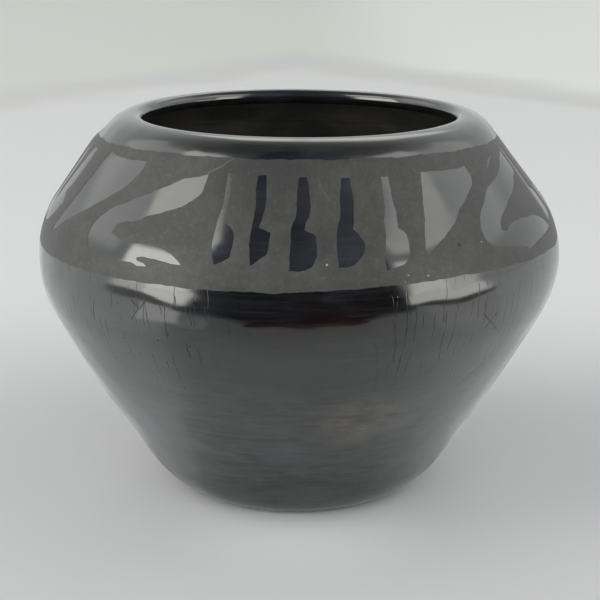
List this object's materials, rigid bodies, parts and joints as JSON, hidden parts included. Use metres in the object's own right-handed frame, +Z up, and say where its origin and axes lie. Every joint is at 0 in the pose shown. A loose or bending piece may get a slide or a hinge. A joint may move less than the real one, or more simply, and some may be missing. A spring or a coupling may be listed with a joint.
{
  "type": "hand-coiled black clay pot",
  "caption": "Round-bellied, wide-mouthed black clay pot with a rolled lip, a small flat foot, a stone-burnished skin and a dull painted band of bare figures round the shoulder.",
  "frame": {"origin": "centre of the flat foot, on the surface that the pot stands on", "axes": "+Z up along the pot's axis, through the mouth; -Y towards the front, which shows the middle club of a row of five"},
  "size_m": [0.15, 0.15, 0.1116],
  "materials": {
    "fired_clay": "bare smoke-blackened clay, matte",
    "burnished_slip": "stone-burnished black, glossy with fine crackle",
    "matte_slip": "dull unpolished slip"
  },
  "bodies": {
    "root": {"base_slab": "fired_clay", "lower_wall_coil_1": "fired_clay", "lower_wall_coil_2": "fired_clay", "lower_wall_coil_3": "fired_clay", "lower_wall_coil_4": "fired_clay", "lower_wall_coil_5": "fired_clay", "shoulder_coil": "fired_clay", "upper_wall_coil_1": "fired_clay", "upper_wall_coil_2": "fired_clay", "upper_wall_coil_3": "fired_clay", "rim_coil": "fired_clay", "burnished_slip": "burnished_slip", "matte_slip_band": "matte_slip"}
  },
  "joints": []
}
